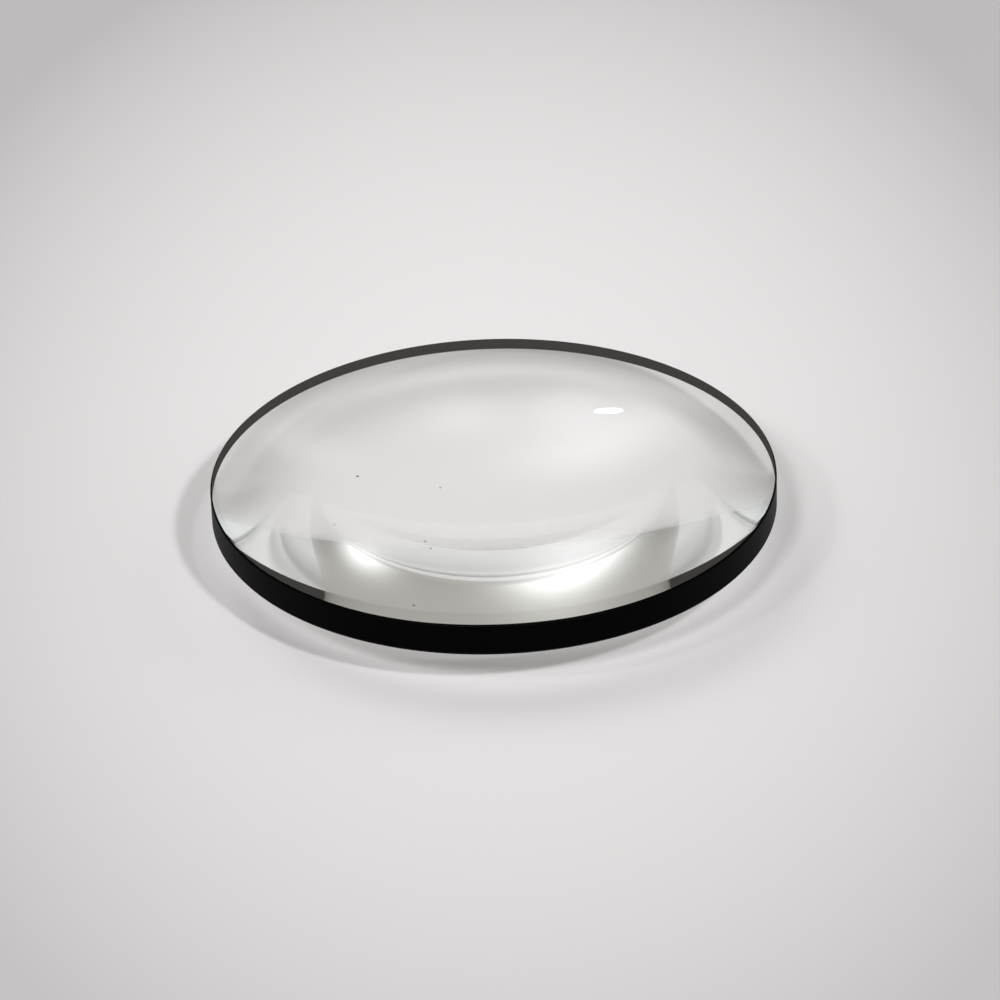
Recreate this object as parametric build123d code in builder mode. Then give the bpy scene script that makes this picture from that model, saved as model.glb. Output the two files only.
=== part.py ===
"""Plano-convex lens: one disc of flint glass, flat face up, resting on the crown of its convex face."""
import os
from math import asin, degrees, sqrt

from build123d import *

# Driving dimensions, in millimetres
LENS_DIAMETER = 50.0     # across the ground edge
EDGE_THICKNESS = 2.9     # height of the ground edge, from the flat face to the rim of the convex one
CONVEX_RADIUS = 77.5     # radius of curvature of the convex face: a focal length of 125 mm in flint glass
FLAT_BEVEL = 0.15        # leg of the protective bevel between the flat face and the edge
CONVEX_BEVEL = 0.15      # leg of the protective bevel between the convex face and the edge

# The optical axis is Z. The origin is the vertex of the convex face, which is the point it stands on.
rim_radius = LENS_DIAMETER / 2
sagitta = CONVEX_RADIUS - sqrt(CONVEX_RADIUS**2 - rim_radius**2)
centre_thickness = sagitta + EDGE_THICKNESS
rim_angle = degrees(asin(rim_radius / CONVEX_RADIUS))

with BuildPart() as lens:
    # Half section on the XZ plane: convex arc, ground edge, flat face and optical axis
    with BuildSketch(Plane.XZ):
        with BuildLine():
            convex_arc = CenterArc((0, CONVEX_RADIUS), CONVEX_RADIUS, -90, rim_angle)
            ground_edge = Line(convex_arc @ 1, (rim_radius, centre_thickness))
            flat_face = Line(ground_edge @ 1, (0, centre_thickness))
            Line(flat_face @ 1, convex_arc @ 0)
        make_face()
    revolve(axis=Axis.Z)

    # Protective bevels at both ends of the ground edge
    edge_wall = lens.faces().filter_by(GeomType.CYLINDER)
    rims = edge_wall.edges().filter_by(GeomType.CIRCLE).sort_by(Axis.Z)
    chamfer(rims[-1], FLAT_BEVEL)
    edge_wall = lens.faces().filter_by(GeomType.CYLINDER)
    rims = edge_wall.edges().filter_by(GeomType.CIRCLE).sort_by(Axis.Z)
    chamfer(rims[0], CONVEX_BEVEL)

lens.part.label = "lens"

os.makedirs("parts", exist_ok=True)
export_step(lens.part, "parts/lens.step")

print(f"centre thickness {centre_thickness:.4f} mm, sagitta {sagitta:.4f} mm, ground edge from "
      f"{sagitta + CONVEX_BEVEL:.4f} to {centre_thickness - FLAT_BEVEL:.4f} mm")
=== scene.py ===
"""Looks of a plano-convex lens.

Polished flint glass with an inked black edge, on a pale table under studio lamps.
"""
import logging
import math
from dataclasses import dataclass, field
from enum import Enum
from typing import Any

import bpy
import mathutils
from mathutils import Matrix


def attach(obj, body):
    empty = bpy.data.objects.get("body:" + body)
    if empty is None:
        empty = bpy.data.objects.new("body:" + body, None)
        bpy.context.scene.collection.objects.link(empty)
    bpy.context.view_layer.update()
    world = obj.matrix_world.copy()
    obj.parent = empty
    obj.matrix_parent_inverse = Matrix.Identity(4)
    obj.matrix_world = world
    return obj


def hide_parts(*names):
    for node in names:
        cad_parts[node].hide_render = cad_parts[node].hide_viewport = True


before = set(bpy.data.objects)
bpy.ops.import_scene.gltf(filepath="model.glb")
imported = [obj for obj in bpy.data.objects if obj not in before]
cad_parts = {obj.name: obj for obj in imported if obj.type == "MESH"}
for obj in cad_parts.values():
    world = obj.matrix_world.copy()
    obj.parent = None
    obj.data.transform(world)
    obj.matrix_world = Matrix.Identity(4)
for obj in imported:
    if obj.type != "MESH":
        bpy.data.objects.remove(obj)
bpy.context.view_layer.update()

LOG = logging.getLogger("plano_convex_lens")
MM = 0.001  # one millimetre, in metres
LIGHT_PER_AREA = math.pi  # watts per square metre that give an area lamp a radiance of 1
LIGHT_BOUNCES = 24  # light crosses the lens many times before it comes out again


# ---------------------------------------------------------------------------------------------
# Small helpers
# ---------------------------------------------------------------------------------------------


def hex_linear(code: str) -> tuple[float, float, float, float]:
    """Turn an sRGB hex colour into a linear RGBA colour.

    Args:
        code: Six hex digits, or twelve where eight bits a channel are too coarse.

    Returns:
        The linear red, green and blue, with an alpha of 1.
    """
    width = len(code) // 3
    srgb = [int(code[i * width : (i + 1) * width], 16) / (16**width - 1) for i in range(3)]
    linear = [c / 12.92 if c <= 0.04045 else ((c + 0.055) / 1.055) ** 2.4 for c in srgb]
    return linear[0], linear[1], linear[2], 1.0


def add_node(
    tree: bpy.types.NodeTree,
    kind: str,
    settings: dict[str, Any] | None = None,
    links: dict[str | int, bpy.types.NodeSocket] | None = None,
) -> bpy.types.Node:
    """Add one shader node with its settings and incoming links.

    Args:
        tree: The node tree that takes the node.
        kind: Blender's name for the node type.
        settings: Property or input names with their values; a number names an input by its place.
        links: Input names or places with the output sockets that feed them.

    Returns:
        The new node.
    """
    node = tree.nodes.new(kind)
    for name, value in (settings or {}).items():
        if isinstance(name, str) and hasattr(node, name):
            setattr(node, name, value)
        else:
            node.inputs[name].default_value = value
    for name, source in (links or {}).items():
        tree.links.new(source, node.inputs[name])
    return node


def direction(azimuth: float, elevation: float) -> mathutils.Vector:
    """Turn a compass direction into a unit vector.

    Args:
        azimuth: Degrees from straight behind the lens, clockwise seen from above.
        elevation: Degrees over the table.

    Returns:
        The vector of length 1, pointing away from the lens.
    """
    turn, rise = math.radians(azimuth), math.radians(elevation)
    level = math.cos(rise)
    return mathutils.Vector((math.sin(turn) * level, math.cos(turn) * level, math.sin(rise)))


def new_material(name: str) -> tuple[bpy.types.Material, bpy.types.NodeTree, bpy.types.Node]:
    """Make an empty node material.

    Args:
        name: The finish's name.

    Returns:
        The material, its node tree and its output node.
    """
    material = bpy.data.materials.new(name)
    material.use_nodes = True
    tree = material.node_tree
    tree.nodes.clear()
    return material, tree, tree.nodes.new("ShaderNodeOutputMaterial")


def deselect_everything() -> None:
    """Leave object mode with nothing selected."""
    if bpy.context.object and bpy.context.object.mode != "OBJECT":
        bpy.ops.object.mode_set(mode="OBJECT")
    bpy.ops.object.select_all(action="DESELECT")


def apply_place(piece: bpy.types.Object) -> None:
    """Put a piece's place, turn and scale into its mesh."""
    deselect_everything()
    piece.select_set(True)
    bpy.context.view_layer.objects.active = piece
    bpy.ops.object.transform_apply(location=True, rotation=True, scale=True)


# ---------------------------------------------------------------------------------------------
# Finishes
# ---------------------------------------------------------------------------------------------


@dataclass(frozen=True)
class DustSpeck:
    """One speck of dust on the flat face, in millimetres from the optical axis."""

    across: float
    along: float
    radius: float


@dataclass(frozen=True)
class PolishedFlintGlass:
    """Dense flint glass, pitch polished: clear and mirror smooth, with a few specks of dust on top."""

    name: str = "polished_flint_glass"
    index: float = 1.620
    tint: str = "FF6FFFFFFFC6"  # the faint green of lead glass, taken at each face that light meets
    rim_inside: float = 21.0 * MM  # from here outwards the light that goes straight through falls
    rim_outside: float = 24.3 * MM  # and here it has reached its share at the rim
    rim_share: float = 0.42
    dust: str = "6E6B66"  # grey house dust
    specks: tuple[DustSpeck, ...] = (
        DustSpeck(-12.0, 0.6, 0.14),
        DustSpeck(-4.7, -1.9, 0.10),
        DustSpeck(-6.1, -10.9, 0.12),
    )

    def speck_mask(self, tree: bpy.types.NodeTree, height: float) -> bpy.types.NodeSocket:
        """Add the nodes that mark the dust.

        Args:
            tree: The glass's node tree.
            height: Height of the flat face, in metres.

        Returns:
            The socket that is 1 on a speck and 0 beside it.
        """
        place = add_node(tree, "ShaderNodeTexCoord")
        mask = add_node(tree, "ShaderNodeValue").outputs[0]  # 0 to start with
        for speck in self.specks:
            middle = (speck.across * MM, speck.along * MM, height)
            away = add_node(
                tree,
                "ShaderNodeVectorMath",
                {"operation": "DISTANCE", 1: middle},
                {0: place.outputs["Object"]},
            )
            inside = add_node(
                tree,
                "ShaderNodeMath",
                {"operation": "LESS_THAN", 1: speck.radius * MM},
                {0: away.outputs["Value"]},
            )
            either = add_node(
                tree, "ShaderNodeMath", {"operation": "MAXIMUM"}, {0: mask, 1: inside.outputs[0]}
            )
            mask = either.outputs[0]
        return mask

    def straight_share(self, tree: bpy.types.NodeTree) -> bpy.types.NodeSocket:
        """Add the nodes that say how much light goes straight down through the glass.

        Args:
            tree: The glass's node tree.

        Returns:
            The socket with the share for one face, 1 in the middle and less at the rim.
        """
        place = add_node(tree, "ShaderNodeTexCoord")
        flat = add_node(
            tree,
            "ShaderNodeVectorMath",
            {"operation": "MULTIPLY", 1: (1.0, 1.0, 0.0)},
            {0: place.outputs["Object"]},
        )
        radius = add_node(tree, "ShaderNodeVectorMath", {"operation": "LENGTH"}, {0: flat.outputs["Vector"]})
        share = add_node(
            tree,
            "ShaderNodeMapRange",
            {
                "interpolation_type": "SMOOTHSTEP",
                "From Min": self.rim_inside,
                "From Max": self.rim_outside,
                "To Min": 1.0,
                "To Max": self.rim_share,
            },
            {"Value": radius.outputs["Value"]},
        )
        return share.outputs["Result"]

    def material(self, height: float) -> bpy.types.Material:
        """Build the glass and its dust.

        Args:
            height: Height of the flat face, in metres.

        Returns:
            The glass material.
        """
        material, tree, output = new_material(self.name)
        clear = add_node(
            tree,
            "ShaderNodeBsdfGlass",
            {"Color": hex_linear(self.tint), "Roughness": 0.0, "IOR": self.index},
        )
        # The table takes its light straight through the glass, so that it stays even under the lens.
        # Less comes down near the rim, which acts as a prism and sends its light inwards.
        path = add_node(tree, "ShaderNodeLightPath")
        to_table = add_node(
            tree,
            "ShaderNodeMath",
            {"operation": "MAXIMUM"},
            {0: path.outputs["Is Shadow Ray"], 1: path.outputs["Is Diffuse Ray"]},
        )
        straight = add_node(tree, "ShaderNodeBsdfTransparent", links={"Color": self.straight_share(tree)})
        glass = add_node(
            tree,
            "ShaderNodeMixShader",
            links={0: to_table.outputs[0], 1: clear.outputs[0], 2: straight.outputs[0]},
        )
        dust = add_node(tree, "ShaderNodeBsdfDiffuse", {"Color": hex_linear(self.dust)})
        whole = add_node(
            tree,
            "ShaderNodeMixShader",
            links={0: self.speck_mask(tree, height), 1: glass.outputs[0], 2: dust.outputs[0]},
        )
        tree.links.new(whole.outputs[0], output.inputs["Surface"])
        return material


@dataclass(frozen=True)
class MattBlackEdgeInk:
    """Black lens ink brushed on a fine-ground edge: nearly no light back, dull even at a low angle."""

    name: str = "matt_black_edge_ink"
    colour: str = "020202"
    roughness: float = 0.45
    index: float = 1.5
    sheen: float = 0.02  # specular level, low because the ink sinks into the ground glass
    grain_size: float = 0.12 * MM  # the pits are about 0.03 mm wide, drawn wider to show as a soft grain
    grain_depth: float = 0.01 * MM
    grain_strength: float = 0.15

    def material(self) -> bpy.types.Material:
        """Build the ink, with the fine grain of the ground glass under it."""
        material, tree, output = new_material(self.name)
        place = add_node(tree, "ShaderNodeTexCoord")
        grain = add_node(
            tree,
            "ShaderNodeTexNoise",
            {"Scale": 1 / self.grain_size, "Detail": 2.0},
            {"Vector": place.outputs["Object"]},
        )
        bump = add_node(
            tree,
            "ShaderNodeBump",
            {"Strength": self.grain_strength, "Distance": self.grain_depth},
            {"Height": grain.outputs["Fac"]},
        )
        ink = add_node(
            tree,
            "ShaderNodeBsdfPrincipled",
            {
                "Base Color": hex_linear(self.colour),
                "Roughness": self.roughness,
                "IOR": self.index,
                "Specular IOR Level": self.sheen,
            },
            {"Normal": bump.outputs["Normal"]},
        )
        tree.links.new(ink.outputs[0], output.inputs["Surface"])
        return material


@dataclass(frozen=True)
class MattWhiteLaminateWithPaintedPool:
    """Matt white laminate table top, an even pale grey, with a painted pool of light: its colour is lightest
    behind the lens and darkens softly away as painted shade.
    """

    name: str = "matt_white_laminate_painted_pool"
    colour: str = "E2E0E1"
    painted_pool_width: float = 42 * MM  # half widths of the painted pool of light
    painted_pool_length: float = 81 * MM
    painted_pool_middle: float = 26 * MM  # how far behind the lens its middle lies
    fade: float = 0.16  # painted shade: share of the colour taken off at the rim of the pool
    painted_fade_power: float = 2.3  # how late the fade sets in
    painted_darkest: float = 0.64  # share of the colour left far away, painted shade
    roughness: float = 0.9
    sheen: float = 0.2  # specular level, low for a matt top

    def material(self) -> bpy.types.Material:
        """Build the table's finish, with a painted pool of light: the colour fades softly away from the
        pool's middle.
        """
        material, tree, output = new_material(self.name)
        place = add_node(tree, "ShaderNodeTexCoord")
        # Painted light and shade: the colour is scaled down with distance from the middle of a pool behind
        # the lens
        painted_pool = add_node(
            tree,
            "ShaderNodeVectorMath",
            {
                "operation": "MULTIPLY_ADD",
                1: (1 / self.painted_pool_width, 1 / self.painted_pool_length, 0.0),
                2: (0.0, -self.painted_pool_middle / self.painted_pool_length, 0.0),
            },
            {0: place.outputs["Object"]},
        )
        reach = add_node(tree, "ShaderNodeVectorMath", {"operation": "LENGTH"}, {0: painted_pool.outputs["Vector"]})
        power = add_node(
            tree,
            "ShaderNodeMath",
            {"operation": "POWER", 1: self.painted_fade_power},
            {0: reach.outputs["Value"]},
        )
        left = add_node(
            tree,
            "ShaderNodeMath",
            {"operation": "MULTIPLY_ADD", 1: -self.fade, 2: 1.0},
            {0: power.outputs[0]},
        )
        level = add_node(
            tree,
            "ShaderNodeMath",
            {"operation": "MAXIMUM", 1: self.painted_darkest},
            {0: left.outputs[0]},
        )
        colour = add_node(
            tree,
            "ShaderNodeVectorMath",
            {"operation": "SCALE", 0: hex_linear(self.colour)[:3]},
            {"Scale": level.outputs[0]},
        )
        top = add_node(
            tree,
            "ShaderNodeBsdfPrincipled",
            {"Roughness": self.roughness, "Specular IOR Level": self.sheen},
            {"Base Color": colour.outputs["Vector"]},
        )
        tree.links.new(top.outputs[0], output.inputs["Surface"])
        return material


# ---------------------------------------------------------------------------------------------
# The lens
# ---------------------------------------------------------------------------------------------


class LensFinish(Enum):
    """The two finishes of the lens, by the number of their material slot."""

    POLISHED = 0
    INKED = 1


@dataclass
class LensBody:
    """The one piece of glass, turned about its optical axis, flat face up and convex face down."""

    rim_radius: float = 25.0 * MM
    edge_thickness: float = 2.9 * MM
    convex_radius: float = 77.5 * MM
    bevel: float = 0.15 * MM
    arc_steps: int = 96  # rings on the convex face, fine enough for a smooth reflection
    turn_steps: int = 512  # steps round the optical axis
    weld: float = 0.001 * MM  # points closer than this are one
    crease: float = 10.0  # degrees; the bevels stay crisp and the convex face smooth
    glass: PolishedFlintGlass = field(default_factory=PolishedFlintGlass)
    ink: MattBlackEdgeInk = field(default_factory=MattBlackEdgeInk)

    @property
    def sagitta(self) -> float:
        """Depth of the convex face from its vertex to its rim."""
        return self.convex_radius - math.sqrt(self.convex_radius**2 - self.rim_radius**2)

    @property
    def height(self) -> float:
        """Centre thickness: height of the flat face over the vertex."""
        return self.sagitta + self.edge_thickness

    def build(self) -> bpy.types.Object:
        """Turn the lens from its half section.

        Returns:
            The finished mesh object, with its place in its mesh.
        """
        deselect_everything()
        bpy.ops.mesh.primitive_plane_add(size=2 * MM, location=(0, 0, 0))
        piece = bpy.context.object
        piece.name = piece.data.name = "lens_body"
        bpy.ops.object.mode_set(mode="EDIT")
        bpy.ops.mesh.select_mode(type="VERT")
        bpy.ops.mesh.select_all(action="SELECT")
        bpy.ops.mesh.merge(type="CENTER")

        # The convex face's arc, swung from the vertex about the centre of curvature
        slope = math.asin(self.rim_radius / self.convex_radius)
        arc = slope - self.bevel / self.convex_radius
        bpy.ops.mesh.spin(steps=self.arc_steps, angle=arc, center=(0, 0, self.convex_radius), axis=(0, 1, 0))
        end = mathutils.Vector(
            (self.convex_radius * math.sin(arc), 0, self.convex_radius * (1 - math.cos(arc)))
        )
        corners = [
            (self.rim_radius, self.sagitta + self.bevel),
            (self.rim_radius, self.height - self.bevel),
            (self.rim_radius - self.bevel, self.height),
            (0.0, self.height),
        ]
        for radius, level in corners:
            target = mathutils.Vector((radius, 0, level))
            bpy.ops.mesh.extrude_region_move(TRANSFORM_OT_translate={"value": tuple(target - end)})
            end = target

        # One turn of the half section about the optical axis
        bpy.ops.mesh.select_all(action="SELECT")
        bpy.ops.mesh.spin(steps=self.turn_steps, angle=2 * math.pi, center=(0, 0, 0), axis=(0, 0, 1))
        bpy.ops.mesh.select_all(action="SELECT")
        bpy.ops.mesh.remove_doubles(threshold=self.weld)
        bpy.ops.mesh.normals_make_consistent(inside=False)
        bpy.ops.object.mode_set(mode="OBJECT")
        bpy.ops.object.shade_smooth_by_angle(angle=math.radians(self.crease))
        apply_place(piece)
        return piece

    def dress(self, piece: bpy.types.Object) -> None:
        """Give the faces their glass and the ground edge and bevels their ink.

        Args:
            piece: The lens mesh from build.
        """
        piece.data.materials.append(self.glass.material(self.height))
        piece.data.materials.append(self.ink.material())
        polished_radius = self.rim_radius - 0.9 * self.bevel  # only the bevels and the edge reach past it
        for face in piece.data.polygons:
            inked = math.hypot(face.center.x, face.center.y) > polished_radius
            face.material_index = (LensFinish.INKED if inked else LensFinish.POLISHED).value
        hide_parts("lens")
        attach(piece, "root")


# ---------------------------------------------------------------------------------------------
# Table, lamps and camera
# ---------------------------------------------------------------------------------------------


@dataclass
class Table:
    """The pale surface that the lens lies on."""

    width: float = 3.0  # metres
    finish: MattWhiteLaminateWithPaintedPool = field(default_factory=MattWhiteLaminateWithPaintedPool)

    def build(self) -> bpy.types.Object:
        """Lay the table top level with the lens's lowest point."""
        deselect_everything()
        bpy.ops.mesh.primitive_plane_add(size=self.width, location=(0, 0, 0))
        top = bpy.context.object
        top.name = top.data.name = "table_top"
        top.data.materials.append(self.finish.material())
        return top


class Cloth(Enum):
    """Outline of a soft box."""

    SQUARE = "RECTANGLE"
    ROUND = "ELLIPSE"


@dataclass(frozen=True)
class SoftBox:
    """One soft box, placed by its direction from the lens."""

    name: str
    azimuth: float  # degrees from straight behind the lens, clockwise seen from above
    elevation: float  # degrees over the table
    width: float  # metres
    height: float  # metres
    radiance: float  # 1 is the light that a white card in the room sends back
    cloth: Cloth = Cloth.SQUARE
    turn: float = 0.0  # degrees about its own axis
    distance: float = 2.0  # metres from the lens to the cloth

    def build(self) -> None:
        """Hang the soft box, turned towards the lens."""
        place = self.distance * direction(self.azimuth, self.elevation)
        aim = (-place).to_track_quat("-Z", "Y") @ mathutils.Quaternion((0, 0, 1), math.radians(self.turn))
        area = self.width * self.height * (math.pi / 4 if self.cloth is Cloth.ROUND else 1.0)
        light = bpy.data.lights.new(self.name, "AREA")
        light.shape = self.cloth.value
        light.size, light.size_y = self.width, self.height
        light.energy = LIGHT_PER_AREA * self.radiance * area
        holder = bpy.data.objects.new(self.name, light)
        bpy.context.scene.collection.objects.link(holder)
        holder.location = place
        holder.rotation_euler = aim.to_euler()


@dataclass(frozen=True)
class Glow:
    """One soft patch of light on the walls or ceiling, brightest in its middle."""

    name: str
    azimuth: float  # degrees from straight behind the lens, clockwise seen from above
    elevation: float  # degrees over the table
    spread: float  # degrees from the middle to where it has fallen to six tenths
    radiance: float  # of the middle

    def add(self, tree: bpy.types.NodeTree, towards: bpy.types.NodeSocket) -> bpy.types.NodeSocket:
        """Add the glow's nodes.

        Args:
            tree: The world's node tree.
            towards: Socket with the direction looked in.

        Returns:
            The socket with the glow's own light.
        """
        middle = tuple(direction(self.azimuth, self.elevation))
        sharpness = 1 / math.radians(self.spread) ** 2
        along = add_node(tree, "ShaderNodeVectorMath", {"operation": "DOT_PRODUCT", 1: middle}, {0: towards})
        slope = add_node(
            tree,
            "ShaderNodeMath",
            {"operation": "MULTIPLY_ADD", 1: sharpness, 2: -sharpness},
            {0: along.outputs["Value"]},
        )
        fall = add_node(tree, "ShaderNodeMath", {"operation": "EXPONENT"}, {0: slope.outputs[0]})
        glow = add_node(
            tree, "ShaderNodeMath", {"operation": "MULTIPLY", 1: self.radiance}, {0: fall.outputs[0]}
        )
        return glow.outputs[0]


@dataclass(frozen=True)
class Room:
    """The room round the table: dim grey, lighter towards the back wall and the ceiling, with soft glows."""

    front: float = 0.02
    back_wall: float = 0.48
    ceiling: float = 0.03
    paint: str = "FFF8F0"
    glows: tuple[Glow, ...] = ()

    def build(self) -> None:
        """Light the world by direction."""
        world = bpy.data.worlds.new("room")
        bpy.context.scene.world = world
        world.use_nodes = True
        tree = world.node_tree
        tree.nodes.clear()
        output = tree.nodes.new("ShaderNodeOutputWorld")
        place = add_node(tree, "ShaderNodeTexCoord")
        towards = place.outputs["Generated"]
        axes = add_node(tree, "ShaderNodeSeparateXYZ", links={0: towards})
        back, up = (
            add_node(
                tree,
                "ShaderNodeMath",
                {"operation": "MULTIPLY", "use_clamp": True, 1: level},
                {0: axes.outputs[axis]},
            )
            for axis, level in (("Y", self.back_wall), ("Z", self.ceiling))
        )
        level = add_node(tree, "ShaderNodeMath", {"operation": "ADD", 1: self.front}, {0: back.outputs[0]})
        walls = add_node(
            tree, "ShaderNodeMath", {"operation": "ADD"}, {0: level.outputs[0], 1: up.outputs[0]}
        )
        total = add_node(tree, "ShaderNodeValue")  # 0 to start with
        for glow in self.glows:
            own = glow.add(tree, towards)
            total = add_node(tree, "ShaderNodeMath", {"operation": "ADD"}, {0: total.outputs[0], 1: own})
            LOG.info("glow %s", glow.name)
        painted = add_node(
            tree, "ShaderNodeBackground", {"Color": hex_linear(self.paint)}, {"Strength": walls.outputs[0]}
        )
        lit = add_node(tree, "ShaderNodeBackground", {"Color": (1, 1, 1, 1)}, {"Strength": total.outputs[0]})
        room = add_node(tree, "ShaderNodeAddShader", {}, {0: painted.outputs[0], 1: lit.outputs[0]})
        tree.links.new(room.outputs[0], output.inputs["Surface"])


@dataclass(frozen=True)
class Viewpoint:
    """The camera, aimed from its height over the flat face, its distance and its small turns."""

    elevation: float = 30.42381  # degrees over the flat face
    distance: float = 17.6577  # rim radii
    roll: float = -0.0347  # radians, as are the next two
    pan: float = 0.00117131
    tilt: float = -0.00504777
    focal_length: float = 180.0  # millimetres
    sensor_width: float = 36.0
    nearest: float = 0.01  # metres
    farthest: float = 20.0

    def build(self, rim_radius: float, height: float) -> bpy.types.Object:
        """Stand the camera and make it the scene's own.

        Args:
            rim_radius: Radius of the lens, in metres.
            height: Height of the flat face, in metres.

        Returns:
            The camera object.
        """
        rise, reach = math.radians(self.elevation), self.distance * rim_radius
        place = mathutils.Vector((0, -reach * math.cos(rise), reach * math.sin(rise) + height))
        ahead = mathutils.Vector((0, math.cos(rise), -math.sin(rise)))
        right = mathutils.Vector((1, 0, 0))
        above = right.cross(ahead)
        aim = (ahead + math.tan(self.pan) * right + math.tan(self.tilt) * above).normalized()
        side = aim.cross(above).normalized()
        top = side.cross(aim)
        cosine, sine = math.cos(self.roll), math.sin(self.roll)
        across, up = cosine * side + sine * top, cosine * top - sine * side
        lens = bpy.data.cameras.new("viewpoint")
        lens.sensor_width, lens.lens = self.sensor_width, self.focal_length
        lens.clip_start, lens.clip_end = self.nearest, self.farthest
        holder = bpy.data.objects.new("viewpoint", lens)
        bpy.context.scene.collection.objects.link(holder)
        holder.matrix_world = mathutils.Matrix(
            (
                (across.x, up.x, -aim.x, place.x),
                (across.y, up.y, -aim.y, place.y),
                (across.z, up.z, -aim.z, place.z),
                (0, 0, 0, 1),
            )
        )
        bpy.context.scene.camera = holder
        return holder


@dataclass(frozen=True)
class Studio:
    """All the light: a pair of front lamps, a weak one at the left, a small spot behind and the room."""

    boxes: tuple[SoftBox, ...] = (
        SoftBox("front_right", 147.5, 45.5, 0.15, 0.15, 242.0),
        SoftBox("front_left", 201.0, 44.5, 0.30, 0.30, 49.0),
        SoftBox("left", 233.0, 44.0, 0.24, 0.24, 27.0),
        SoftBox("spot", 311.7, 59.3, 0.21, 0.084, 8.0, Cloth.ROUND, -61.6),
    )
    room: Room = Room(
        glows=(
            Glow("back_left", 312.0, 52.0, 10.0, 2.0),
            Glow("top_left", 317.3, 68.1, 6.0, 1.9),
            Glow("back_right", 50.2, 37.2, 6.6, 1.4),
            Glow("back", 334.7, 50.6, 8.8, 1.7),
            Glow("right_wall", 96.0, 30.0, 11.0, 0.8),
            Glow("left_wall", 265.0, 36.0, 11.0, 0.8),
            Glow("top", 19.0, 71.6, 6.6, 1.6),
        )
    )

    def build(self) -> None:
        """Light the room and hang the soft boxes."""
        self.room.build()
        for box in self.boxes:
            box.build()
            LOG.info("soft box %s", box.name)


def main() -> None:
    """Build the lens, the table, the lamps and the camera, in that order."""
    logging.basicConfig(level=logging.INFO, format="%(message)s")
    bpy.context.scene.view_settings.view_transform = "Standard"
    cycles = bpy.context.scene.cycles
    cycles.max_bounces = cycles.transmission_bounces = cycles.glossy_bounces = LIGHT_BOUNCES
    cycles.blur_glossy = 0.0  # nothing is softened or dimmed after mirror-smooth glass

    lens = LensBody()
    piece = lens.build()
    lens.dress(piece)
    LOG.info("%s: %d faces, %.4f mm thick", piece.name, len(piece.data.polygons), lens.height / MM)

    top = Table().build()
    LOG.info("%s: level with the lens's lowest point", top.name)
    Studio().build()
    viewpoint = Viewpoint().build(lens.rim_radius, lens.height)
    LOG.info("%s: %.3f m from the lens", viewpoint.name, viewpoint.location.length)


if __name__ == "__main__":
    main()
